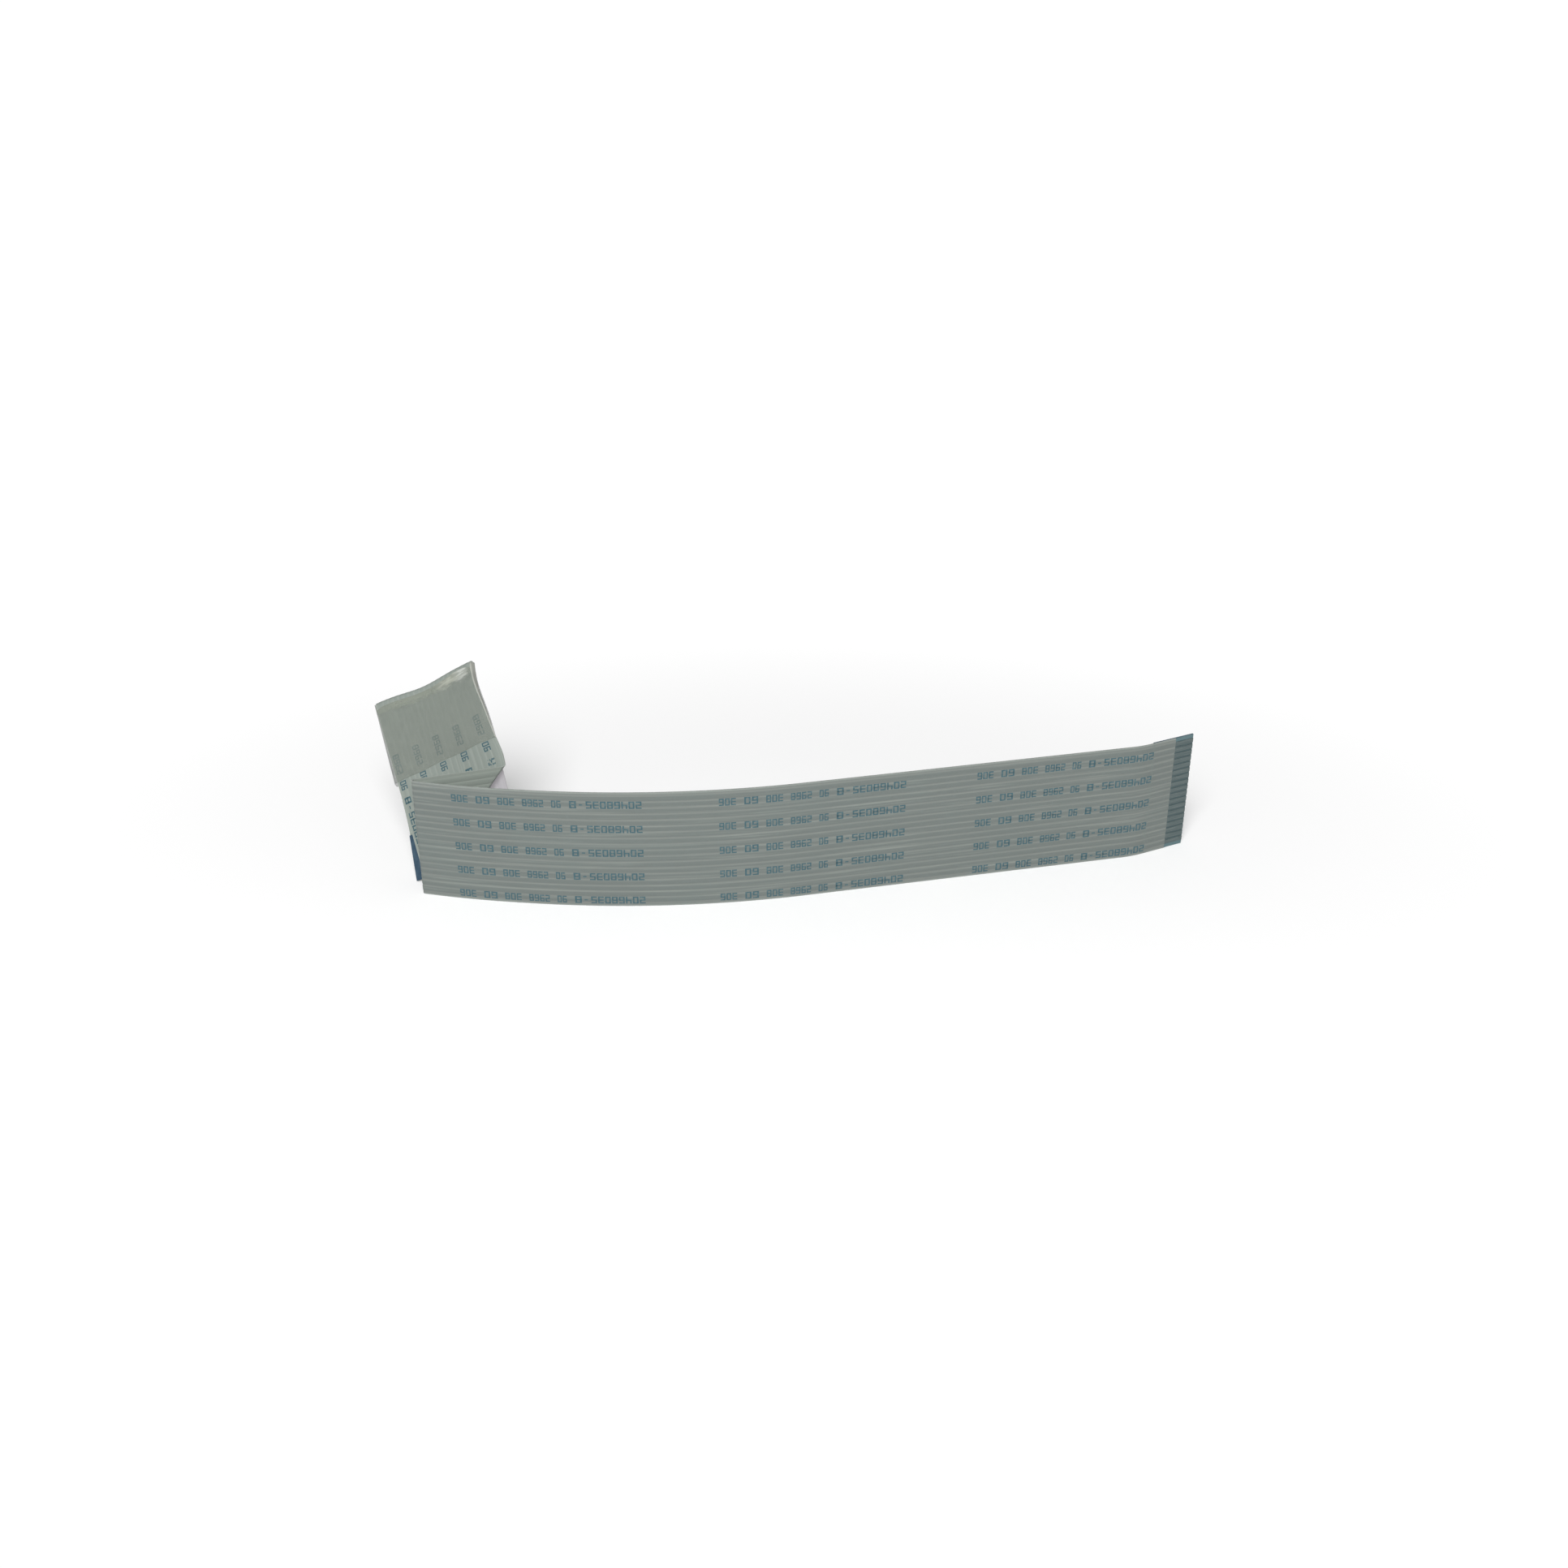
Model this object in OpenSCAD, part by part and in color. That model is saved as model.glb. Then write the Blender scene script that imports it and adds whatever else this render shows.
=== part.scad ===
// A flat flexible cable with stiffened contact ends. It stands on its lower edge in a shallow curve.
// Its far part is folded back, then up, then over and down again, under a band of clear tape.
// On the flat strip u runs along from the open contact end, v runs across from the lower edge,
// and n points out of the front face. Every piece is a range of u, v and n on the same folds.

/* [Cable] */
// Number of flat conductors side by side
ways = 18; // [8:1:24]
// Distance between the centres of neighbouring conductors
pitch = 1; // [0.9:0.05:1.25]
// Width of one conductor
conductor_w = 0.7; // [0.5:0.05:0.8]
// Thickness of one conductor
conductor_t = 0.1; // [0.06:0.01:0.12]
// Film from the centre of an outermost conductor to the edge of the cable
edge_margin = 1; // [0.7:0.05:1.5]
// Thickness of each film where it covers a conductor
film_t = 0.07; // [0.06:0.01:0.12]
// Depth of the valleys that the front film has between the conductors
valley_d = 0.03; // [0.01:0.01:0.05]

/* [Contact ends] */
// Length at each end where the front film is left off and the conductors lie bare
bare_len = 3.2; // [2.5:0.1:5]
// How deep a bare conductor sits in the film under it
seat_d = 0.03; // [0.01:0.01:0.05]
// Length of the stiffener on the back of each end
stiffener_len = 7; // [6:0.5:8]
// Thickness of a stiffener
stiffener_t = 0.15; // [0.12:0.01:0.25]

/* [Long leg] */
// Length from the open contact end to the first crease
leg_len = 117; // [110:1:140]
// Angle of the open contact end to the part's length, seen from above
end_angle = 25; // [10:1:30]
// Run from the stiffener to the kink beside it
near_bend_gap = 0.5; // [0:0.1:5]
// Angle of the kink beside the stiffener
near_bend_angle = 12.6; // [5:0.2:20]
// Length of the kink beside the stiffener
near_bend_len = 3; // [2:0.5:10]
// Place of the middle of the long bend
long_bend_at = 80; // [60:1:82]
// Angle of the long bend
long_bend_angle = 18.5; // [10:0.5:30]
// Length of the long bend
long_bend_len = 40; // [25:1:44]
// Angle of the slight bend beside the first crease
far_bend_angle = 6.8; // [1:0.2:10]
// Length of the slight bend beside the first crease
far_bend_len = 14; // [8:1:14]

/* [Folded end] */
// Radius of the two sharp creases, at the middle of the cable's thickness
crease_r = 0.3; // [0.3:0.05:0.5]
// Angle that the first crease leaves open between the leg and the part behind it
back_opening = 30.5; // [15:0.5:45]
// Lean of the second crease from upright, in the plane of the cable
crease_lean = 33.3; // [25:0.1:45]
// Angle that the second crease leaves open between the part behind the leg and the flap
flap_opening = 54.7; // [30:0.1:60]
// Run along the lower edge between the first crease and the second
crease_gap = 0.13; // [0.1:0.01:1]
// Length of the flap along its left edge, from the second crease to the top bend
flap_len = 30.4; // [28:0.2:34]
// Radius of the top bend, at the middle of the cable's thickness
top_r = 0.45; // [0.4:0.05:1]
// Slope of the top bend across the cable
top_slope = 2.1; // [0:0.1:3]
// Angle that the top bend leaves open between the flap and the tail behind it
tail_opening = 2.1; // [0:0.1:5]
// Angle by which the stiff end of the tail turns back towards the flap
tail_bend_angle = 7.2; // [0:0.2:10]
// Length of the bend above the stiff end of the tail
tail_bend_len = 3; // [2:0.5:5]

/* [Tape] */
// Thickness of the tape
tape_t = 0.06; // [0.04:0.01:0.12]
// Width of the tape
tape_w = 12; // [8:0.5:12.5]
// Run from the tape's upper edge to the middle of the top bend, along the flap's left edge
tape_drop = 1.4; // [1:0.1:3]
// Clearance between the tape and the right edge of the flap and the tail
tape_clearance = 0.16; // [0.15:0.01:0.3]
// Gap between the tape and their left edge, at the tape's upper edge
tape_slack_high = 0.15; // [0.05:0.05:0.5]
// Gap between the tape and their left edge, at the tape's lower edge
tape_slack_low = 0.5; // [0.2:0.05:0.8]

/* [Hidden] */
// Flat steps that make up each kind of bend
crease_steps = 4;
top_steps = 5;
near_steps = 3;
long_steps = 5;
slight_steps = 2;

cable_w = (ways - 1) * pitch + 2 * edge_margin;
core = conductor_t / 2;
face = core + film_t;
ramp = film_t;
near_bend_at = stiffener_len + near_bend_gap + near_bend_len / 2;
far_bend_at = leg_len - crease_r * 2 - far_bend_len / 2;
tape_at = flap_len - tape_drop - tape_w;

function conductor_name(i) = str("conductor_", i < 10 ? "0" : "", i);
function conductor_v(i) = edge_margin + (i - 1) * pitch;

// A vector turned about a unit axis, by the right-hand rule
function turned(x, k, a) = x * cos(a) + cross(k, x) * sin(a) + k * (k * x) * (1 - cos(a));

// A frame is the place of the flat strip's corner and its directions u, v and n on one flat facet
function at(f, u, v, n) = f[0] + f[1] * u + f[2] * v + f[3] * n;

// A fold is the place u of a line across the strip, the line's slope and the angle turned there
function folded(f, fold) =
    let (k = f[1] * sin(fold[1]) + f[2] * cos(fold[1]), p = f[0] + f[1] * fold[0])
    [p + turned(f[0] - p, k, fold[2]), turned(f[1], k, fold[2]), turned(f[2], k, fold[2]), turned(f[3], k, fold[2])];
function frames(f, folds, i = 0) =
    i == len(folds) ? [f] : concat([f], frames(folded(f, folds[i]), folds, i + 1));

// A bend is a row of equal folds, centred at u, either over a given length or round a given radius
function bend(u, slope, angle, length, steps) =
    [for (i = [0 : steps - 1]) [u + (i - (steps - 1) / 2) * length / steps, slope, angle / steps]];
function arc_len(angle, r, steps) = 2 * r * tan(angle / steps / 2) * steps;

back_turn = 180 - back_opening;
flap_turn = 180 - flap_opening;
top_turn = 180 - tail_opening;
crease_len = arc_len(back_turn, crease_r, crease_steps);
lean_len = arc_len(flap_turn, crease_r, crease_steps) / cos(crease_lean);
top_len = arc_len(top_turn, top_r, top_steps) / cos(top_slope);
inner_steps = (crease_steps - 1) / crease_steps;

// The second crease meets the lower edge at the foot, and the top bend meets it at the crown
foot = leg_len + (crease_len + lean_len) / 2 * inner_steps + crease_gap;
crown = foot + flap_len;
leg_folds = concat(bend(near_bend_at, 0, -near_bend_angle, near_bend_len, near_steps),
                   bend(long_bend_at, 0, -long_bend_angle, long_bend_len, long_steps),
                   bend(far_bend_at, 0, -far_bend_angle, far_bend_len, slight_steps));
back_folds = concat(leg_folds, bend(leg_len, 0, -back_turn, crease_len, crease_steps));
flap_folds = concat(back_folds, bend(foot, crease_lean, flap_turn, lean_len, crease_steps));
top_folds = concat(flap_folds, bend(crown, -top_slope, -top_turn, top_len, top_steps));
flap_facet = len(flap_folds);
tail_facet = len(top_folds);
function all_folds(cable_len) =
    concat(top_folds, bend(cable_len - stiffener_len - tail_bend_len / 2, 0, -tail_bend_angle, tail_bend_len, slight_steps));

// The open end starts at the centre of the frame, and the leg leaves it to the left
start = [[0, 0, 0], [-cos(end_angle), -sin(end_angle), 0], [0, 0, 1], [sin(end_angle), -cos(end_angle), 0]];

// The tail is as long as it takes for its lower corner to reach the surface
function end_height(cable_len) =
    let (fs = frames(start, all_folds(cable_len)), f = fs[len(fs) - 1])
    min(at(f, cable_len, 0, face)[2], at(f, cable_len, 0, -face - stiffener_t)[2]);
short_len = crown + flap_len / 2;
long_len = crown + flap_len;
cable_len = short_len
    + (long_len - short_len) * end_height(short_len) / (end_height(short_len) - end_height(long_len));
folds = all_folds(cable_len);
raw = frames(start, folds);

// The part stands centred over the middle of its own outline
function hull_points(fs) = [for (i = [0 : len(folds) - 1], v = [0, cable_w], n = [-face, face])
    corner(fold_station(fs, i), [v, n])];
function end_points(f, u) = [for (v = [0, cable_w], n = [-face - stiffener_t, core]) at(f, u, v, n)];
function low(points, axis) = min([for (p = points) p[axis]]);
function high(points, axis) = max([for (p = points) p[axis]]);
outline = concat(hull_points(raw), end_points(raw[0], 0), end_points(raw[len(folds)], cable_len),
                 tape_loop(raw, tape_at, tape_slack_low, tape_t), tape_loop(raw, tape_at + tape_w, tape_slack_high, tape_t));
middle = [(low(outline, 0) + high(outline, 0)) / 2, (low(outline, 1) + high(outline, 1)) / 2, low(outline, 2)];
placed = [for (f = raw) [f[0] - middle, f[1], f[2], f[3]]];

// A station is a cut across the strip: the place of v = 0, a step of v and a step of n.
// At a fold it lies in the plane that halves the angle, so neighbouring layers meet all round.
function fold_station(fs, i) =
    let (f = fs[i], m = f[3] + fs[i + 1][3])
    [at(f, folds[i][0], 0, 0), f[2] + f[1] * tan(folds[i][1]), m / norm(m) / cos(folds[i][2] / 2)];
function facet_of(u) = len([for (fold = folds) if (fold[0] < u) 1]);
function cut_station(u) = let (f = placed[facet_of(u)]) [at(f, u, 0, 0), f[2], f[3]];
function stations(u0, u1) =
    concat([cut_station(u0)],
           [for (i = [0 : len(folds) - 1]) if (folds[i][0] > u0 && folds[i][0] < u1) fold_station(placed, i)],
           [cut_station(u1)]);
function corner(station, p) = station[0] + station[1] * p[0] + station[2] * p[1];

// A solid with one section at each station. The diagonal of each side face runs from the deeper
// point, so that two layers that share a wall split it the same way.
module swept(cuts, sections) {
    m = len(sections[0]);
    k = len(cuts);
    points = [for (i = [0 : k - 1]) for (p = sections[i]) corner(cuts[i], p)];
    sides = [for (i = [0 : k - 2]) for (j = [0 : m - 1])
        let (a = i * m + j, b = i * m + (j + 1) % m, deeper = sections[i][j][1] <= sections[i][(j + 1) % m][1])
        each (deeper ? [[b + m, b, a], [a + m, b + m, a]] : [[a + m, b, a], [a + m, b + m, b]])];
    ends = [[for (j = [0 : m - 1]) j], [for (j = [m - 1 : -1 : 0]) (k - 1) * m + j]];
    polyhedron(points, concat(sides, ends));
}

// The same section from u0 to u1
module strip(u0, u1, section) {
    cuts = stations(u0, u1);
    swept(cuts, [for (c = cuts) section]);
}

function slab(v0, v1, n0, n1) = [[v0, n0], [v0, n1], [v1, n1], [v1, n0]];

// Film over the conductors, with a crest on each one and a valley between two
function front_section() =
    concat([[0, core], [0, face - valley_d]],
           [for (i = [1 : ways]) each concat([[conductor_v(i), face]],
               i < ways ? [[conductor_v(i) + pitch / 2, face - valley_d]] : [])],
           [[cable_w, face - valley_d], [cable_w, core]]);

// Film under the conductors, with a pocket for each one, filled up to the given level
function back_section(level) =
    concat([[0, -face], [0, level]],
           [for (i = [1 : ways]) each let (a = conductor_v(i) - conductor_w / 2, b = conductor_v(i) + conductor_w / 2)
               [[a, level], [a, -core], [b, -core], [b, level]]],
           [[cable_w, level], [cable_w, -face]]);

module front_film() {
    color([0.62, 0.65, 0.62]) strip(bare_len, cable_len - bare_len, front_section());
}

module back_film() {
    full = back_section(core);
    bare = back_section(seat_d - core);
    covered = stations(bare_len, cable_len - bare_len);
    cuts = concat([cut_station(0), cut_station(bare_len - ramp)], covered,
                  [cut_station(cable_len - bare_len + ramp), cut_station(cable_len)]);
    color([0.55, 0.58, 0.55]) swept(cuts, concat([bare, bare], [for (c = covered) full], [bare, bare]));
}

module conductor(i) {
    v = conductor_v(i);
    color([0.6, 0.62, 0.62]) strip(0, cable_len, slab(v - conductor_w / 2, v + conductor_w / 2, -core, core));
}

module stiffener(u0) {
    color([0.2, 0.4, 0.55]) strip(u0, u0 + stiffener_len, slab(0, cable_w, -face - stiffener_t, -face));
}

// One turn of the tape round the flap and the tail, at a height along the flap: its corners lie
// on the front of the flap and on the far side of the tail. A slack holds it off the left edge,
// and its walls stand out by t.
function tail_u(fs, height, v, n) =
    let (f = fs[flap_facet], t = fs[tail_facet], off = at(f, foot + height, 0, 0) - at(t, 0, v, n))
    (off * f[1]) / (t[1] * f[1]);
function tape_loop(fs, height, slack, t) =
    let (n = face + t, v0 = -slack - t, v1 = cable_w + tape_clearance + t)
    [at(fs[flap_facet], foot + height, v0, n), at(fs[flap_facet], foot + height, v1, n),
     at(fs[tail_facet], tail_u(fs, height, v1, n), v1, n), at(fs[tail_facet], tail_u(fs, height, v0, n), v0, n)];

module wrap_tape() {
    points = concat(tape_loop(placed, tape_at, tape_slack_low, 0), tape_loop(placed, tape_at, tape_slack_low, tape_t),
                    tape_loop(placed, tape_at + tape_w, tape_slack_high, 0),
                    tape_loop(placed, tape_at + tape_w, tape_slack_high, tape_t));
    faces = [for (a = [0 : 3]) let (b = (a + 1) % 4)
        each [[a, b, b + 8], [a, b + 8, a + 8],
              [a + 4, b + 12, b + 4], [a + 4, a + 12, b + 12],
              [a, b + 4, b], [a, a + 4, b + 4],
              [a + 8, b + 8, b + 12], [a + 8, b + 12, a + 12]]];
    color([0.75, 0.78, 0.74, 0.5]) polyhedron(points, faces);
}

front_film();
back_film();
for (i = [1 : ways]) conductor(i);
stiffener(0);  // end_stiffener
stiffener(cable_len - stiffener_len);  // tail_stiffener
wrap_tape();
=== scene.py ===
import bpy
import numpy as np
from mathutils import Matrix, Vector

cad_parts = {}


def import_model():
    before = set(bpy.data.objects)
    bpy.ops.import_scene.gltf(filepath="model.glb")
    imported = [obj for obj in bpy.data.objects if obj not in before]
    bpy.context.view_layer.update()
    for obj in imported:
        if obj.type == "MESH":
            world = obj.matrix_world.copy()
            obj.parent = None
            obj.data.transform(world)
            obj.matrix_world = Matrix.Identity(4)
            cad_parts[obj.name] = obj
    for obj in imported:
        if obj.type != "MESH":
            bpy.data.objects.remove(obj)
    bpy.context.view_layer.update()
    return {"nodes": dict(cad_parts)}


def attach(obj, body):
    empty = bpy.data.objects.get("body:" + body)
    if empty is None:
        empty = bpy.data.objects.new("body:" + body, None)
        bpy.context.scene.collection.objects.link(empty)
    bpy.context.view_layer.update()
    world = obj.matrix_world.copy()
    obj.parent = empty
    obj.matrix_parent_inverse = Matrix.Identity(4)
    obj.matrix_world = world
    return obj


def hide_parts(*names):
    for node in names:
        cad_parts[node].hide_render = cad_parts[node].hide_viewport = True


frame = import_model()

# A flat flexible cable: two satin films with flat conductors sealed between them, blue stiffeners behind
# the bare contact ends, printed marks on the front film and a band of clear tape round the folded end.
# Lengths on the strip are in millimetres, as on a maker's drawing, and place() puts them in the row
# frame in metres.

MM = 0.001

# The strip's driving values, as in the solids, in millimetres and degrees
WAYS, PITCH = 18, 1.0
CONDUCTOR_W, CONDUCTOR_T = 0.7, 0.1
EDGE_MARGIN = 1.0
FILM_T, VALLEY_D = 0.07, 0.03
BARE_LEN, SEAT_D = 3.2, 0.03
STIFFENER_LEN, STIFFENER_T = 7.0, 0.15
LEG_LEN, END_ANGLE = 117.0, 25.0
NEAR_BEND_GAP, NEAR_BEND_ANGLE, NEAR_BEND_LEN = 0.5, 12.6, 3.0
LONG_BEND_AT, LONG_BEND_ANGLE, LONG_BEND_LEN = 80.0, 18.5, 40.0
FAR_BEND_ANGLE, FAR_BEND_LEN = 6.8, 14.0
CREASE_R, BACK_OPENING, CREASE_LEAN, FLAP_OPENING = 0.3, 30.5, 33.3, 54.7
CREASE_GAP, FLAP_LEN = 0.13, 30.4
TOP_R, TOP_SLOPE, TAIL_OPENING = 0.45, 2.1, 2.1
TAIL_BEND_ANGLE, TAIL_BEND_LEN = 7.2, 3.0
TAPE_T, TAPE_W, TAPE_DROP, TAPE_CLEARANCE = 0.06, 12.0, 1.4, 0.16
TAPE_SLACK_HIGH, TAPE_SLACK_LOW = 0.15, 0.5
TAPE_LIFT = 0.018
NEAR_STEPS, LONG_STEPS, SLIGHT_STEPS, CREASE_STEPS, TOP_STEPS = 3, 5, 2, 4, 5
CABLE_LEN = 176.486
# the origin of the row frame, seen from the lower corner of the open contact end
MIDDLE = np.array([-61.4461, -5.99268, -0.0365682])

CABLE_W = (WAYS - 1) * PITCH + 2 * EDGE_MARGIN
CORE = CONDUCTOR_T / 2
FACE = CORE + FILM_T


def arc_len(angle, r, steps):
    """Length of the polygon of that many sides round an arc: sides of 2 r tan(half a step's angle)."""
    return 2 * r * np.tan(np.radians(angle / steps / 2)) * steps


def turned(x, k, angle):
    """x turned about the unit axis k by the right-hand rule; angle may be an array, in radians."""
    c, s = np.cos(angle)[..., None], np.sin(angle)[..., None]
    return x * c + np.cross(k, x) * s + k * (x @ k)[..., None] * (1 - c)


CREASE_LEN = arc_len(180 - BACK_OPENING, CREASE_R, CREASE_STEPS)
LEAN_LEN = arc_len(180 - FLAP_OPENING, CREASE_R, CREASE_STEPS) / np.cos(np.radians(CREASE_LEAN))
TOP_FALL = np.tan(np.radians(TOP_SLOPE))
TOP_LEN = arc_len(180 - TAIL_OPENING, TOP_R, TOP_STEPS) / np.cos(np.radians(TOP_SLOPE))
FOOT = LEG_LEN + (CREASE_LEN + LEAN_LEN) / 2 * (CREASE_STEPS - 1) / CREASE_STEPS + CREASE_GAP
CROWN = FOOT + FLAP_LEN
NEAR_BEND_AT = STIFFENER_LEN + NEAR_BEND_GAP + NEAR_BEND_LEN / 2
FAR_BEND_AT = LEG_LEN - CREASE_R * 2 - FAR_BEND_LEN / 2
TAPE_AT = FLAP_LEN - TAPE_DROP - TAPE_W
TAIL_BEND_AT = CABLE_LEN - STIFFENER_LEN - TAIL_BEND_LEN / 2

# For each bend: the place of its middle on the lower edge, the slope of its lines, its angle, its length
# there and its flat steps in the solids
BENDS = [
    (NEAR_BEND_AT, 0.0, -NEAR_BEND_ANGLE, NEAR_BEND_LEN, NEAR_STEPS),
    (LONG_BEND_AT, 0.0, -LONG_BEND_ANGLE, LONG_BEND_LEN, LONG_STEPS),
    (FAR_BEND_AT, 0.0, -FAR_BEND_ANGLE, FAR_BEND_LEN, SLIGHT_STEPS),
    (LEG_LEN, 0.0, -(180 - BACK_OPENING), CREASE_LEN, CREASE_STEPS),
    (FOOT, CREASE_LEAN, 180 - FLAP_OPENING, LEAN_LEN, CREASE_STEPS),
    (CROWN, -TOP_SLOPE, -(180 - TAIL_OPENING), TOP_LEN, TOP_STEPS),
    (TAIL_BEND_AT, 0.0, -TAIL_BEND_ANGLE, TAIL_BEND_LEN, SLIGHT_STEPS),
]


def folded(f, u, slope, angle):
    """The frame f (origin, along, across, out) past one fold line at u, its slope and angle in degrees."""
    s = np.radians(slope)
    k = f[1] * np.sin(s) + f[2] * np.cos(s)
    p = f[0] + f[1] * u
    a = np.radians(angle)
    return [p + turned(f[0] - p, k, a)] + [turned(x, k, a) for x in f[1:]]


def flat_frames():
    """The frame of each flat stretch between bends, in millimetres in the row frame."""
    a = np.radians(END_ANGLE)
    along = np.array([-np.cos(a), -np.sin(a), 0])
    up = np.array([0, 0, 1.0])
    out = np.array([np.sin(a), -np.cos(a), 0])
    f = [-MIDDLE, along, up, out]
    frames = [f]
    for middle, slope, angle, length, steps in BENDS:
        for i in range(steps):
            f = folded(f, middle + (i - (steps - 1) / 2) * length / steps, slope, angle / steps)
        frames.append(f)
    return frames


FRAMES = flat_frames()
FLAP, TAIL = FRAMES[5], FRAMES[6]

# How the fold departs from a straight one: each bell curve has a depth, a middle and a spread
TOP_DROP, TOP_DROP_SPREAD = 0.35, 5.0
TOP_TILT = 0.013
TOP_WAVE, TOP_WAVE_AT, TOP_WAVE_SPREAD = 0.52, 9.0, 4.6
CURL_HIGH, CURL_HIGH_AT, CURL_HIGH_SPREAD = 1.0, 26.0, 4.5
CURL_LOW, CURL_LOW_AT, CURL_LOW_SPREAD = 0.85, 14.2, 3.0


def hump(x, middle, spread):
    """A bell curve: e to the minus square of the distance from its middle in spreads."""
    return np.exp(-((x - middle) / spread) ** 2)


def hand_fold(height, v, front):
    """How far a fold made by hand departs from a straight one, in millimetres in the row frame.

    The top fold sits a little low, lowest in its middle: a line plus a bell curve over v, and it fades with
    another bell curve over the height. The right half of the flap curls by the square of the distance past
    its middle, outwards near the top and, on its front layer only, inwards near the second crease.
    """
    drop = TOP_DROP + TOP_TILT * v + TOP_WAVE * hump(v, TOP_WAVE_AT, TOP_WAVE_SPREAD)
    drop = drop * hump(height, FLAP_LEN, TOP_DROP_SPREAD)
    outwards = CURL_HIGH * hump(height, CURL_HIGH_AT, CURL_HIGH_SPREAD)
    inwards = CURL_LOW * hump(height, CURL_LOW_AT, CURL_LOW_SPREAD)
    curl = outwards - inwards * front
    curl = curl * np.clip((v - CABLE_W / 2) / (CABLE_W / 2), 0, None) ** 2
    return curl[..., None] * FLAP[3] - drop[..., None] * FLAP[1]


# where a point starts to be measured on the flap, before the top fold
TOP_REACH = 2.0


def place(u, v, n):
    """Strip coordinates in millimetres to points in the row frame in metres.

    On a flat stretch a point is origin + u along + v across + n out. In a bend it turns about the bend's
    axis, which lies a radius off the middle of the strip, by an angle that grows evenly with the distance
    past the line where the bend starts, and it keeps its distance along that axis. Last comes what the hand
    fold adds: from just below the top fold on, by the point's height and place across as seen on the flap, so
    that the layers behind the flap move with it.
    """
    u, v, n = np.broadcast_arrays(*(np.asarray(x, float) for x in (u, v, n)))
    f = FRAMES[0]
    p = f[0] + u[..., None] * f[1] + v[..., None] * f[2] + n[..., None] * f[3]
    for f, after, (middle, slope, angle, length, steps) in zip(FRAMES, FRAMES[1:], BENDS):
        s, a = np.radians(slope), np.radians(angle)
        k = f[1] * np.sin(s) + f[2] * np.cos(s)
        run = length * np.cos(s)
        r = run / steps / (2 * np.tan(a / steps / 2))
        start = middle - length / 2
        past = (u - start) * np.cos(s) - v * np.sin(s)
        along = (u - start) * np.sin(s) + v * np.cos(s)
        axis = f[0] + f[1] * start + f[3] * r
        t = np.clip(past / run, 0, 1) * a
        spoke = turned(np.broadcast_to(f[3], t.shape + (3,)), k, t)
        bent = axis + along[..., None] * k + (n - r)[..., None] * spoke
        beyond = after[0] + u[..., None] * after[1] + v[..., None] * after[2] + n[..., None] * after[3]
        p = np.where((past > 0)[..., None], bent, p)
        p = np.where((past >= run)[..., None], beyond, p)
    over = u > CROWN - TOP_REACH
    height = np.where(over, (p - FLAP[0]) @ FLAP[1], u) - FOOT
    v = np.where(over, (p - FLAP[0]) @ FLAP[2], v)
    return (p + hand_fold(height, v, u < CROWN)) * MM


# Meshes from grids. For each bend: how many rings lie before it, on the flat stretch, and inside it
RING_COUNTS = ((4, 10), (46, 30), (2, 14), (4, 14), (1, 14), (22, 16), (22, 6))


def ring_lines():
    """Lines across the strip, each as its place on the lower edge and its slope: close together in the bends,
    and fanned evenly between one bend's direction and the next one's on the flat stretches."""
    keys = [(0.0, 0.0, 1), (BARE_LEN, 0.0, 6)]
    for (middle, slope, _, length, _), (before, inside) in zip(BENDS, RING_COUNTS):
        t = np.tan(np.radians(slope))
        keys += [(middle - length / 2, t, before), (middle + length / 2, t, inside)]
    keys += [(CABLE_LEN - BARE_LEN, 0.0, 4), (CABLE_LEN, 0.0, 1)]
    lines = [(0.0, 0.0)]
    for (u0, t0, _), (u1, t1, count) in zip(keys, keys[1:]):
        share = np.arange(1, count + 1)[:, None] / count
        lines += list(map(tuple, (1 - share) * (u0, t0) + share * (u1, t1)))
    return np.array(lines)


LINES = ring_lines()
NEAREST = 0.05


def between(u0, u1):
    """The ring lines from u0 to u1, with a square line at each end and none nearer to it than NEAREST."""
    inside = LINES[(LINES[:, 0] > u0 + NEAREST) & (LINES[:, 0] < u1 - NEAREST)]
    return np.concatenate([[(u0, 0.0)], inside, [(u1, 0.0)]])


def along_lines(lines, v):
    """u at each line and each v: the line's place plus its slope times v, never less than the line before."""
    return np.maximum.accumulate(lines[:, :1] + lines[:, 1:] * v[None, :], axis=0)


def strip_faces(rings, loop):
    """Quads between neighbouring rings of a closed loop of points, wound to face outwards."""
    i, j = np.meshgrid(np.arange(rings - 1), np.arange(loop), indexing="ij")
    a, b = i * loop + j, i * loop + (j + 1) % loop
    return np.stack([a, a + loop, b + loop, b], -1).reshape(-1, 4)


def cap_faces(columns, first):
    """The quads of an end, whose loop goes out along the columns' low points and back along the high ones."""
    j = np.arange(columns - 1)
    low, high = first + j, first + 2 * columns - 1 - j
    return np.stack([low, high, high - 1, low + 1], -1)


SHARP_ANGLE = 0.6


def new_mesh(name, points, faces, strip=None, smooth=True):
    """A mesh object from points in metres and quads, with the strip coordinates kept on its points. Edges
    sharper than SHARP_ANGLE, in radians, stay crisp."""
    mesh = bpy.data.meshes.new(name)
    mesh.from_pydata(points.reshape(-1, 3).tolist(), [], faces.tolist())
    if strip is not None:
        held = mesh.attributes.new("strip", "FLOAT_VECTOR", "POINT")
        held.data.foreach_set("vector", np.ascontiguousarray(strip, np.float32).ravel())
    mesh.polygons.foreach_set("use_smooth", np.full(len(mesh.polygons), smooth))
    mesh.update()
    if smooth:
        mesh.set_sharp_from_angle(angle=SHARP_ANGLE)
    piece = bpy.data.objects.new(name, mesh)
    bpy.context.scene.collection.objects.link(piece)
    return piece


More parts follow.
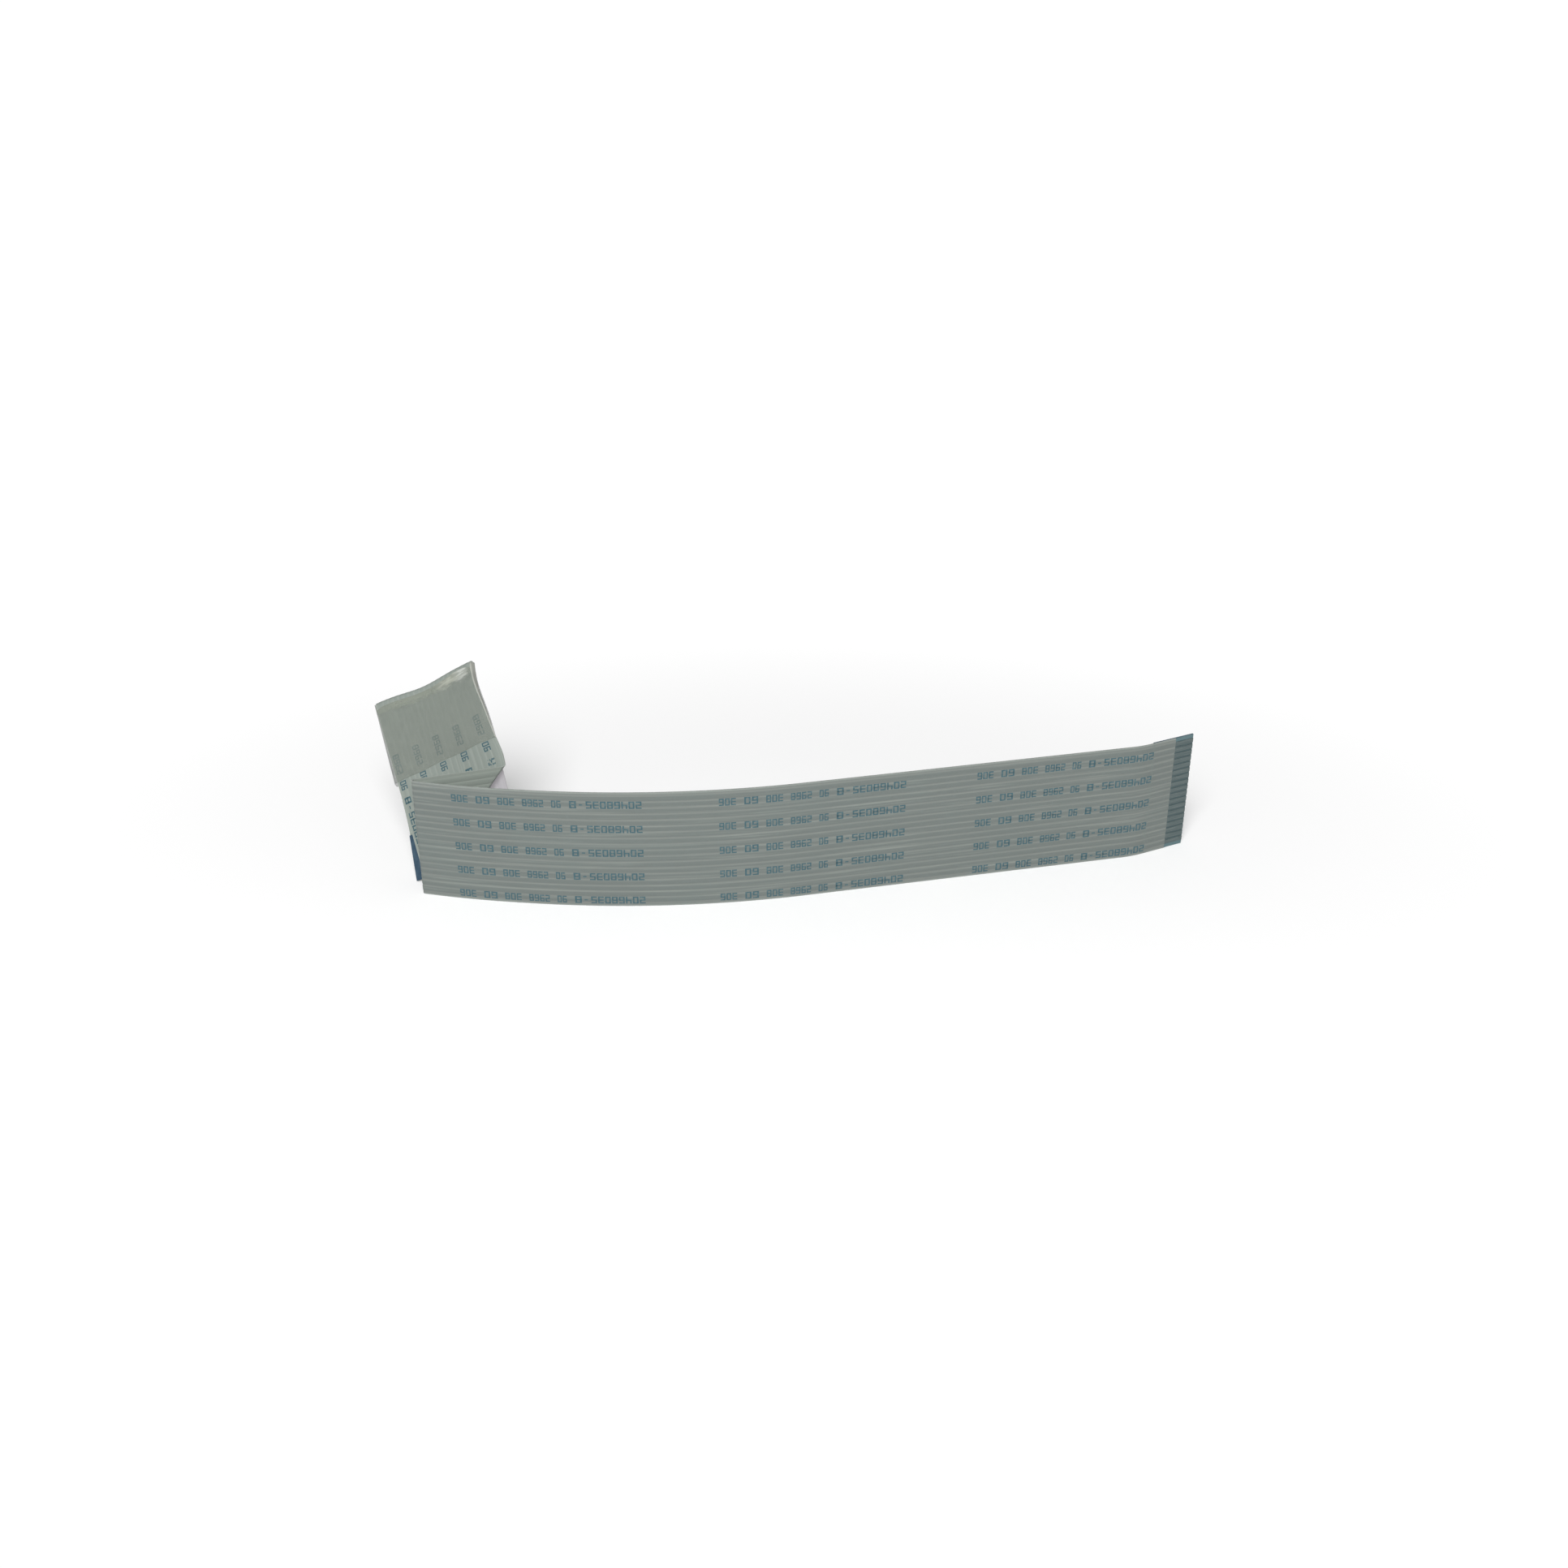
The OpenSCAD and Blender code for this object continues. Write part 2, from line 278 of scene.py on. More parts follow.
def layer(name, lines, v, low, high):
    """One layer of the strip as a closed solid: at each ring line its section goes out along the low points
    and back along the high ones. low and high are distances out from the middle of the strip, for each
    line and each v."""
    u = along_lines(lines, v)
    v = np.broadcast_to(v, u.shape)
    low, high = np.broadcast_to(low, u.shape), np.broadcast_to(high, u.shape)
    strip = np.stack([np.concatenate([u, u[:, ::-1]], 1), np.concatenate([v, v[:, ::-1]], 1),
                      np.concatenate([low, high[:, ::-1]], 1)], -1)
    rings, loop = strip.shape[:2]
    caps = cap_faces(loop // 2, 0)[:, ::-1], cap_faces(loop // 2, (rings - 1) * loop)
    faces = np.concatenate([strip_faces(rings, loop), *caps])
    return new_mesh(name, place(strip[..., 0], strip[..., 1], strip[..., 2]), faces, strip.reshape(-1, 3))


# Half the width of the film's flat over a conductor, and the step from each edge to the next point inwards
FLAT_HALF = 0.27
EDGE_STEP = 0.3


def across(offsets):
    """Places across the strip: the edges, and the given offsets about the centre of every conductor."""
    centres = EDGE_MARGIN + PITCH * np.arange(WAYS)
    v = (centres[:, None] + np.array(offsets)[None, :]).ravel()
    return np.concatenate([[0.0, EDGE_STEP], v, [CABLE_W - EDGE_STEP, CABLE_W]])


def from_conductor(v):
    """The distance from v to the centre of the nearest conductor."""
    between_two = np.abs(v - np.round(v / PITCH) * PITCH)
    past_last = np.abs(v - CABLE_W / 2) - (CABLE_W / 2 - EDGE_MARGIN)
    return np.where(past_last > 0, past_last, between_two)


def ridge(v):
    """How far a film sinks at v: nothing over a conductor, and a valley's depth halfway between two, along a
    half wave of the distance from the flat over the conductor."""
    rise = np.clip((from_conductor(v) - FLAT_HALF) / (PITCH / 2 - FLAT_HALF), 0, 1)
    return VALLEY_D * (1 - np.cos(np.pi * rise)) / 2


# The places across the strip of the two films' points, closest where a valley or a pocket has its walls, and
# a length that only keeps rounding from mattering
RIDGED = across((-0.5, -0.44, -0.38, -0.32, 0.0, 0.32, 0.38, 0.44))
POCKETS = across((-0.5, -0.43, -0.36, -0.35, 0.0, 0.35, 0.36, 0.43))
HALF_W = CONDUCTOR_W / 2
HAIR = 0.005


def front_film():
    """The printed film, from one end's bare contacts to the other's: flat where it lies on the conductors,
    and ridged over them outside."""
    lines = between(BARE_LEN, CABLE_LEN - BARE_LEN)
    return layer("printed_film", lines, RIDGED, CORE, FACE - ridge(RIDGED))


def back_film():
    """The film under the conductors, with a pocket for each; between the pockets it is level with the tops of
    the conductors where the front film covers it, and thin where they lie bare."""
    lines = between(0.0, CABLE_LEN)
    inside = from_conductor(POCKETS) < HALF_W + HAIR
    covered = (lines[:, :1] > BARE_LEN - HAIR) & (lines[:, :1] < CABLE_LEN - BARE_LEN + HAIR)
    level = np.where(covered, CORE, SEAT_D - CORE)
    high = np.where(inside[None, :], -CORE, level)
    return layer("backing_film", lines, POCKETS, -FACE + ridge(POCKETS), high)


def conductor(i):
    """A flat conductor with rounded edges, sealed between the films but for its bare ends."""
    v = EDGE_MARGIN + PITCH * (i - 1) + HALF_W * np.array([-1, -0.93, 0, 0.93, 1])
    half = CORE * np.array([0.5, 1, 1, 1, 0.5])
    return layer(f"conductor_strand_{i:02d}", between(0.0, CABLE_LEN), v, -half, half)


# The printed marks: plain numbers, each made of bars of a seven-bar figure. A bar is left, right, bottom and
# top in a unit box.
INK_LIFT = 0.004
INK_STEP_ALONG, INK_STEP_ACROSS = 0.4, 0.11
LETTER_H, LETTER_SHARE = 1.18, 0.82
BARS = {"a": (0, 1, 0.83, 1), "b": (0.73, 1, 0.5, 1), "c": (0.73, 1, 0, 0.5), "d": (0, 1, 0, 0.17),
        "e": (0, 0.27, 0, 0.5), "f": (0, 0.27, 0.5, 1), "g": (0, 1, 0.42, 0.58)}
FIGURES = {"0": "abcdef", "1": "bc", "2": "abged", "3": "abgcd", "4": "fgbc", "5": "afgcd", "6": "afgedc",
           "7": "abc", "8": "abcdefg", "9": "abcdfg", "-": "g"}
# the groups of one block of print: the figures, the width that they take and the space after them
GROUPS = (("20468035", 8.1, 0.3), ("-", 0.6, 0.3), ("8", 1.2, 1.0), ("90", 1.5, 1.0), ("2968", 3.2, 1.0),
          ("308", 2.6, 1.0), ("60", 2.2, 1.0), ("306", 2.6, 0.0))
# where each block starts, and how many of the groups it has; then the rows' places across the strip
BLOCKS = ((7.0, 8), (45.2, 8), (83.6, 8), (121.8, 5))
ROWS = (17.0, 13.0, 9.0, 5.0, 1.0)


def bar_grid(u0, u1, v0, v1):
    """A patch of film from u0 to u1 and v0 to v1, lifted by the ink's thickness, and its quads facing out."""
    columns = max(2, int(np.ceil((u1 - u0) / INK_STEP_ALONG)) + 1)
    lines = max(2, int(np.ceil((v1 - v0) / INK_STEP_ACROSS)) + 1)
    u, v = np.meshgrid(np.linspace(u0, u1, columns), np.linspace(v0, v1, lines), indexing="ij")
    strip = np.stack([u, v, FACE - ridge(v) + INK_LIFT], -1).reshape(-1, 3)
    i, j = np.meshgrid(np.arange(columns - 1), np.arange(lines - 1), indexing="ij")
    a = i * lines + j
    return strip, np.stack([a, a + 1, a + lines + 1, a + lines], -1).reshape(-1, 4)


def printed_marks():
    """Rows of numbers that run along the strip with their feet towards its upper edge."""
    strips, faces, count = [], [], 0
    for row in ROWS:
        foot = row + LETTER_H / 2
        for start, groups in BLOCKS:
            u = start
            for figures, width, space in GROUPS[:groups]:
                step = width / len(figures)
                wide = step * LETTER_SHARE
                for k, figure in enumerate(figures):
                    left = u + k * step
                    for bar in FIGURES[figure]:
                        x0, x1, y0, y1 = BARS[bar]
                        strip, quads = bar_grid(left + x0 * wide, left + x1 * wide,
                                                foot - y1 * LETTER_H, foot - y0 * LETTER_H)
                        strips.append(strip)
                        faces.append(quads + count)
                        count += len(strip)
                u += width + space
    strip = np.concatenate(strips)
    return new_mesh("printed_marks", place(*strip.T), np.concatenate(faces), strip, smooth=False)


# The tape: the reach of its rounded corners, the points in a corner, on a long wall and on a side wall, and
# the levels from its lower edge to its upper edge
TAPE_ROUND = 0.3
CORNER_POINTS, LONG_POINTS, SIDE_POINTS = 6, 44, 3
TAPE_LEVELS = 25


def tape_corners(height, slack, t):
    """The four corners of the band at a height along the flap, as in the solid: two on the flap's front and
    two on the far side of the tail. t is how far they stand out."""
    n = FACE + t
    v0, v1 = -slack - t, CABLE_W + TAPE_CLEARANCE + t

    def front(v):
        return FLAP[0] + FLAP[1] * (FOOT + height) + FLAP[2] * v + FLAP[3] * n

    def back(v):
        off = FLAP[0] + FLAP[1] * (FOOT + height) - (TAIL[0] + TAIL[2] * v + TAIL[3] * n)
        return TAIL[0] + TAIL[1] * ((off @ FLAP[1]) / (TAIL[1] @ FLAP[1])) + TAIL[2] * v + TAIL[3] * n

    return [front(v0), front(v1), back(v1), back(v0)]


def rounded_loop(corners):
    """A closed loop through four corners, each rounded by a curve that starts and ends a reach away from it.
    At a share s of the way it is (1-s)^2 of the start, 2s(1-s) of the corner and s^2 of the end. The walls
    get points in between."""
    points = []
    for i in range(4):
        before, corner, after = corners[i - 1], corners[i], corners[(i + 1) % 4]
        a, b = before - corner, after - corner
        start = corner + a / np.linalg.norm(a) * TAPE_ROUND
        end = corner + b / np.linalg.norm(b) * TAPE_ROUND
        s = np.linspace(0, 1, CORNER_POINTS)[:, None]
        points.append((1 - s) ** 2 * start + 2 * s * (1 - s) * corner + s ** 2 * end)
        wall = LONG_POINTS if i % 2 == 0 else SIDE_POINTS
        following = after - b / np.linalg.norm(b) * TAPE_ROUND
        share = np.arange(1, wall)[:, None] / wall
        points.append(end + (following - end) * share)
    return np.concatenate(points)


# How far the band's upper edge lies under the top fold, its wave and its dips at the corners, and how far the
# side walls stand higher, past a short way out from each edge
RIM_DROP = 1.1
RIM_WAVE, RIM_WAVE_AT, RIM_WAVE_SPREAD = 0.3, 16.3, 2.5
LEFT_DIP, LEFT_DIP_SPREAD = 0.35, 0.7
RIGHT_DIP, RIGHT_DIP_SPREAD = 0.3, 0.6
LEFT_RISE, LEFT_RISE_WAY = 1.0, 0.12
RIGHT_RISE, RIGHT_RISE_WAY = 0.8, 0.14
CUT_WAVE, CUT_TURN = 0.06, 0.9


def rim(share, v):
    """Height on the flap of a point of the band, a share of the way from its lower edge to its upper edge.

    The lower edge is a line with a slight sine wave over v. The upper edge is a line that falls with the top
    fold's slope, plus a bell curve near the right edge, where the band stands off the cable, less a bell
    curve at each corner. On the side walls it rises in a straight ramp, so that they close the fold's open
    ends.
    """
    high = FLAP_LEN - RIM_DROP - v * TOP_FALL
    high = high + RIM_WAVE * hump(v, RIM_WAVE_AT, RIM_WAVE_SPREAD)
    high = high - LEFT_DIP * hump(v, 0.0, LEFT_DIP_SPREAD) - RIGHT_DIP * hump(v, CABLE_W, RIGHT_DIP_SPREAD)
    high = high + RIGHT_RISE * np.clip((v - CABLE_W) / RIGHT_RISE_WAY, 0, 1)
    high = high + LEFT_RISE * np.clip(-v / LEFT_RISE_WAY, 0, 1)
    low = TAPE_AT + CUT_WAVE * np.sin(v * CUT_TURN)
    return low + (high - low) * share


# The depths behind the flap's face over which the band's heights change from the flap's to the tail's, and
# over which the curl of the flap's front layer fades
TAIL_DEPTH = 0.9
CURL_DEPTH, CURL_SHARE = 0.6, 0.8


def tape_band():
    """The band as a shell, lofted from its lower edge to its upper edge.

    Its inner wall stands off the film by TAPE_LIFT and its outer wall by the tape's thickness. At each level
    a rounded loop runs round the flap and the tail, and its points shift along them to the height that rim()
    gives.
    """
    outer, inner = [], []
    for k in range(TAPE_LEVELS):
        share = k / (TAPE_LEVELS - 1)
        height = TAPE_AT + TAPE_W * share
        slack = TAPE_SLACK_LOW + (TAPE_SLACK_HIGH - TAPE_SLACK_LOW) * share
        for t, held in ((TAPE_T, outer), (TAPE_LIFT, inner)):
            ring = rounded_loop(tape_corners(height, slack, t))
            v, n = (ring - FLAP[0]) @ FLAP[2], (ring - FLAP[0]) @ FLAP[3]
            far = np.clip(-n / TAIL_DEPTH, 0, 1)[:, None]
            up = FLAP[1] * (1 - far) + TAIL[1] / (TAIL[1] @ FLAP[1]) * far
            held.append(ring + up * (rim(share, v) - height)[:, None])
    loop = len(outer[0])
    points = np.concatenate(outer + inner)
    off = points - FLAP[0]
    height, v, n = off @ FLAP[1] - FOOT, off @ FLAP[2], off @ FLAP[3]
    points = points + hand_fold(height, v, np.clip(n / CURL_DEPTH + CURL_SHARE, 0, 1))
    i, j = np.meshgrid(np.arange(TAPE_LEVELS - 1), np.arange(loop), indexing="ij")
    a, b = i * loop + j, i * loop + (j + 1) % loop
    wall = np.stack([a, b, b + loop, a + loop], -1).reshape(-1, 4)
    shift, top = TAPE_LEVELS * loop, (TAPE_LEVELS - 1) * loop
    inside = wall[:, ::-1] + shift
    j = np.arange(loop)
    k = (j + 1) % loop
    lower = np.stack([j, j + shift, k + shift, k], -1)
    upper = np.stack([j + top, k + top, k + top + shift, j + top + shift], -1)
    faces = np.concatenate([wall, inside, lower, upper])
    return new_mesh("tape_band", points * MM, faces, np.stack([height, v, n], -1))


# Finishes
class Amount:
    """A number that varies over a surface. It wraps a node's output, and each operator adds one Math node."""

    def __init__(self, finish, socket):
        self.finish, self.socket = finish, socket

    def _with(self, operation, *values):
        return self.finish.node("ShaderNodeMath", {"operation": operation}, dict(enumerate(values)))

    def __add__(self, other):
        return self._with("ADD", self, other)

    def __sub__(self, other):
        return self._with("SUBTRACT", self, other)

    def __rsub__(self, other):
        return self._with("SUBTRACT", other, self)

    def __mul__(self, other):
        return self._with("MULTIPLY", self, other)

    def __abs__(self):
        return self._with("ABSOLUTE", self)

    def __or__(self, other):
        """The greater of the two, as for masks."""
        return self._with("MAXIMUM", self, other)

    __radd__ = __add__


class Finish:
    """The nodes of a material or of the world."""

    def __init__(self, owner):
        owner.use_nodes = True
        self.owner, self.tree = owner, owner.node_tree
        self.tree.nodes.clear()

    @classmethod
    def material(cls, name):
        """A new material, still without nodes."""
        return cls(bpy.data.materials.new(name))

    def node(self, kind, settings=None, inputs=None, output=0):
        """Adds a node, with its settings first and then the values or links of its sockets."""
        made = self.tree.nodes.new(kind)
        for key, value in (settings or {}).items():
            setattr(made, key, value)
        for key, value in (inputs or {}).items():
            if isinstance(value, Amount):
                self.tree.links.new(value.socket, made.inputs[key])
            else:
                made.inputs[key].default_value = value
        return Amount(self, made.outputs[output]) if len(made.outputs) else None

    def strip(self):
        """A point's place on the strip in millimetres, as a vector."""
        return self.node("ShaderNodeAttribute", {"attribute_name": "strip"}, output="Vector")

    def split(self, vector):
        """The first two parts of a place: along the strip and across it, or height and across on the tape."""
        parts = self.node("ShaderNodeSeparateXYZ", None, {0: vector}).socket.node.outputs
        return Amount(self, parts[0]), Amount(self, parts[1])

    def smooth(self, x, low, high):
        """0 below low and 1 above high, with a smooth step between."""
        return self.node("ShaderNodeMapRange", {"interpolation_type": "SMOOTHSTEP"},
                         {"Value": x, "From Min": low, "From Max": high})

    def colour(self, a, b, share):
        """From colour a to colour b by a share."""
        return self.node("ShaderNodeMix", {"data_type": "RGBA"}, {0: share, 6: a, 7: b}, output=2)

    def stretched(self, vector, scale):
        """The vector with each of its parts times its own scale."""
        return self.node("ShaderNodeMapping", None, {"Vector": vector, "Scale": scale})

    def noise(self, vector, scale, detail, rough=0.5):
        """Soft noise from 0 to 1, about 0.5 on average."""
        return self.node("ShaderNodeTexNoise", None,
                         {"Vector": vector, "Scale": scale, "Detail": detail, "Roughness": rough})

    def bump(self, height, strength):
        """The normal of a surface that a height from 0 to 1 roughens, by 0.1 mm times the strength."""
        return self.node("ShaderNodeBump", None,
                         {"Strength": strength, "Distance": 0.1 * MM, "Height": height}, output="Normal")

    def surface(self, **sockets):
        """The shader and the output. Names are the shader's own, with _ for a space."""
        named = {key.replace("_", " "): value for key, value in sockets.items()}
        shader = self.node("ShaderNodeBsdfPrincipled", None, named)
        self.node("ShaderNodeOutputMaterial", None, {"Surface": shader})
        return self.owner


def rgb(r, g, b):
    """A colour as it shows on a screen, 0 to 255, made linear."""
    c = np.array([r, g, b]) / 255
    return (*np.where(c <= 0.04045, c / 12.92, ((c + 0.055) / 1.055) ** 2.4).tolist(), 1.0)


def film_finish(name, over_conductor, over_gap, bare_margin, painted_tail_light=0.0):
    """Satin film that shows what lies under it: a grey stripe over each conductor and a paler line over each
    gap, streaks, blotches, a pale outer edge and a line where a stiffener ends. Past the second crease it is
    painted paler, painted light for the stronger light and sheen on the flap, and it is dark where it lies
    bare between the contacts. By the share that its last argument gives, the outer side of the tail is tinted
    lilac
    grey and glows faintly: painted light that makes it read pale."""
    f = Finish.material(name)
    held = f.strip()
    u, v = f.split(held)
    d = f.node("ShaderNodeMath", {"operation": "PINGPONG"}, {0: v, 1: PITCH / 2})
    edge = abs(v - CABLE_W / 2)
    margin = f.smooth(edge, CABLE_W / 2 - EDGE_MARGIN + 0.36, CABLE_W / 2 - EDGE_MARGIN + 0.44)
    gap = f.smooth(d, 0.26, 0.46) | margin * 0.5
    streaks = f.noise(f.stretched(held, (0.05, 2.2, 1.0)), 1.0, 4.0, 0.6)
    blotches = f.noise(f.stretched(held, (0.11, 0.16, 1.0)), 1.0, 2.0)
    mottle = f.noise(f.stretched(held, (1.3, 1.6, 1.0)), 1.0, 4.0, 0.6)
    shade = f.colour(over_conductor, over_gap, gap)
    shade = f.colour(shade, rgb(146, 152, 145), f.smooth(streaks, 0.5, 0.75) * 0.4)
    shade = f.colour(shade, rgb(108, 119, 116), f.smooth(blotches, 0.45, 0.75) * 0.22)
    shade = f.colour(shade, rgb(112, 122, 122), f.smooth(mottle, 0.5, 0.8) * 0.3)
    shade = f.colour(shade, rgb(150, 156, 151), f.smooth(edge, CABLE_W / 2 - 0.35, CABLE_W / 2) * 0.6)
    # Painted light: past the second crease the film is painted paler, for the stronger light and sheen on the
    # flap.
    shade = f.colour(shade, rgb(164, 173, 164), f.smooth(u, FOOT - 0.5, FOOT + 0.5) * 0.38)
    # Painted light: the tail's outer side near its right edge is tinted lilac grey, and glows faintly below,
    # so that it reads pale where it shows beside the second crease.
    painted_tail_tint = f.smooth(u, CROWN + 4, CROWN + 8) * f.smooth(v, 13, 16) * painted_tail_light
    shade = f.colour(shade, rgb(128, 126, 129), painted_tail_tint)
    from_end = CABLE_LEN / 2 - abs(u - CABLE_LEN / 2)
    step = 1 - f.smooth(abs(from_end - STIFFENER_LEN), 0.0, 0.45)
    shade = f.colour(shade, rgb(112, 121, 117), step * 0.35)
    bare = 1 - f.smooth(from_end, BARE_LEN - 0.02, BARE_LEN + 0.02)
    exposed = f.colour(rgb(72, 88, 90), bare_margin, margin)
    shade = f.colour(shade, exposed, bare)
    grain = f.noise(held, 6.0, 4.0, 0.6)
    # Painted light: a faint lilac-grey glow, which no lamp gives, on the tail's outer side near its right
    # edge, up to its stiffener, so that it reads pale.
    free_end = CABLE_LEN - STIFFENER_LEN
    through = f.smooth(u, CROWN + 9, CROWN + 13) * (1 - f.smooth(u, free_end - 1, free_end))
    through = through * f.smooth(v, 15.0, 16.5) * painted_tail_light
    through = f.colour((0, 0, 0, 1), rgb(146, 143, 147), through)
    return f.surface(Base_Color=shade, Roughness=0.5 + (blotches - 0.5) * 0.15, Specular_IOR_Level=0.25,
                     Emission_Color=through, Emission_Strength=1.0, Normal=f.bump(grain, 0.05))


def ink_finish():
    """Thin blue-green print, worn a little in places."""
    f = Finish.material("ink")
    worn = f.noise(f.strip(), 2.2, 4.0, 0.65)
    shade = f.colour(rgb(64, 92, 100), rgb(90, 112, 116), f.smooth(worn, 0.45, 0.75))
    return f.surface(Base_Color=shade, Roughness=0.5, Specular_IOR_Level=0.25)


def metal_finish():
    """Tinned copper: dull grey, with fine scratches along each conductor."""
    f = Finish.material("tinned_copper")
    scratches = f.noise(f.stretched(f.strip(), (0.3, 14.0, 1.0)), 1.0, 5.0, 0.65)
    shade = f.colour(rgb(73, 88, 89), rgb(103, 114, 113), f.smooth(scratches, 0.35, 0.7))
    return f.surface(Base_Color=shade, Metallic=0.25, Roughness=0.45 + scratches * 0.2,
                     Normal=f.bump(scratches, 0.2))


def stiffener_finish():
    """Blue film with a fine grain."""
    f = Finish.material("blue_stiffener")
    where = f.node("ShaderNodeTexCoord", None, None, output="Object")
    grain = f.noise(where, 900.0, 4.0, 0.6)
    shade = f.colour(rgb(50, 72, 90), rgb(66, 88, 104), f.smooth(grain, 0.35, 0.7))
    return f.surface(Base_Color=shade, Roughness=0.5 + (grain - 0.5) * 0.2, Specular_IOR_Level=0.3)


def tape_finish():
    """Clear tape: it veils the film a little. Along its upper edge it stands off the fold and catches the
    light, most of all near the right corner: a painted highlight. Its left wall is painted dark, painted
    shade for the inside of the band seen edge-on, and its right corner paler, painted light for a wall the
    lamp barely reaches."""
    f = Finish.material("clear_tape")
    held = f.strip()
    height, v = f.split(held)
    cloud = f.noise(f.stretched(held, (0.7, 0.35, 1.0)), 1.0, 4.0, 0.6)
    lines = f.noise(f.stretched(held, (2.4, 0.5, 1.0)), 1.0, 3.0, 0.5)
    upper = height + v * TOP_FALL
    # A painted highlight: near the right corner the band catches the light just below the top fold.
    top = f.smooth(upper + (cloud - 0.5) * 1.6, FLAP_LEN - 3.0, FLAP_LEN - 1.7)
    right = f.smooth(v + (cloud - 0.5) * 3.0, 10.5, 14.5) * (1 - f.smooth(v, 17.6, 18.9))
    shine = top * right * (0.45 + f.smooth(lines, 0.38, 0.6) * 0.45)
    # A painted highlight: a paler band along the whole top fold.
    band = f.smooth(upper + (lines - 0.5) * 1.4, FLAP_LEN - 2.9, FLAP_LEN - 1.6)
    band = band * (1 - f.smooth(abs(v - 7.2), 2.5, 6.0) * 0.3)
    # Painted shade: the left wall is painted dark, for the inside of the band seen edge-on.
    side = 1 - f.smooth(v, -0.35, 0.15)
    # Painted light: the right wall is painted pale, since the lamp barely reaches it.
    corner = f.smooth(v, CABLE_W - 0.1, CABLE_W + 0.1)
    shade = f.colour(rgb(145, 152, 144), rgb(155, 162, 153), f.smooth(lines, 0.4, 0.7))
    shade = f.colour(shade, rgb(158, 164, 150), band * 0.6)
    glint = f.colour(rgb(178, 181, 169), rgb(200, 203, 197), f.smooth(v + (cloud - 0.5) * 4, 14.6, 16.8))
    shade = f.colour(shade, glint, shine)
    shade = f.colour(shade, rgb(92, 98, 94), side)
    shade = f.colour(shade, rgb(168, 170, 162), corner)
    alpha = 0.3 + shine * 0.4 + band * 0.2 + corner * 0.5
    return f.surface(Base_Color=shade, Roughness=0.35, Specular_IOR_Level=0.35, Alpha=alpha)


# The pieces
def dress(piece, finish, slot, *nodes):
    """Gives a new piece its finish, stands it in for its CAD nodes and lets it ride. Its slot is not used."""
    piece.data.materials.append(finish)
    if nodes:
        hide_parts(*nodes)
    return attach(piece, "root")


front_film_finish = film_finish("front_film_finish", over_conductor=rgb(106, 113, 110),
                                over_gap=rgb(120, 125, 121), bare_margin=rgb(91, 110, 113))
# Painted light: the backing film gets paler colours than the printed film, so that the second layer, which
# sits in the leg's shade, reads as bright as the leg.
back_film_finish = film_finish("back_film_finish", over_conductor=rgb(131, 138, 132),
                               over_gap=rgb(142, 149, 142), bare_margin=rgb(88, 112, 116), painted_tail_light=0.9)
printed = dress(front_film(), front_film_finish, "front_film", "front_film")
marks = dress(printed_marks(), ink_finish(), "front_film")
backing = dress(back_film(), back_film_finish, "back_film", "back_film")
tinned = metal_finish()
strands = [dress(conductor(i), tinned, "conductor", f"conductor_{i:02d}") for i in range(1, WAYS + 1)]
band = dress(tape_band(), tape_finish(), "tape", "wrap_tape")

stiffeners = [frame["nodes"][name] for name in ("end_stiffener", "tail_stiffener")]
for node in stiffeners:
    node.data.materials.clear()
    node.data.materials.append(stiffener_finish())

centreline = place(np.linspace(0, CABLE_LEN, 400), CABLE_W / 2, 0.0)


# Floor, light and camera, in metres and watts
FLOOR_TONE = 0.97
FLOOR_LEFT, FLOOR_RIGHT, FLOOR_NEAR, FLOOR_FAR = -2.0, 2.0, -2.0, 4.0
GLOW_NEAR, GLOW_FROM, GLOW_TO = 0.06, 0.045, 0.15
GLOW_STRENGTH, GLOW_DEPTH = 1.03, 1.6
FILL = 0.29
KEY_AT, KEY_SIZE, KEY_POWER = (-0.05, -0.56, 0.61), 0.45, 7.1
WHITE = (1, 1, 1, 1)


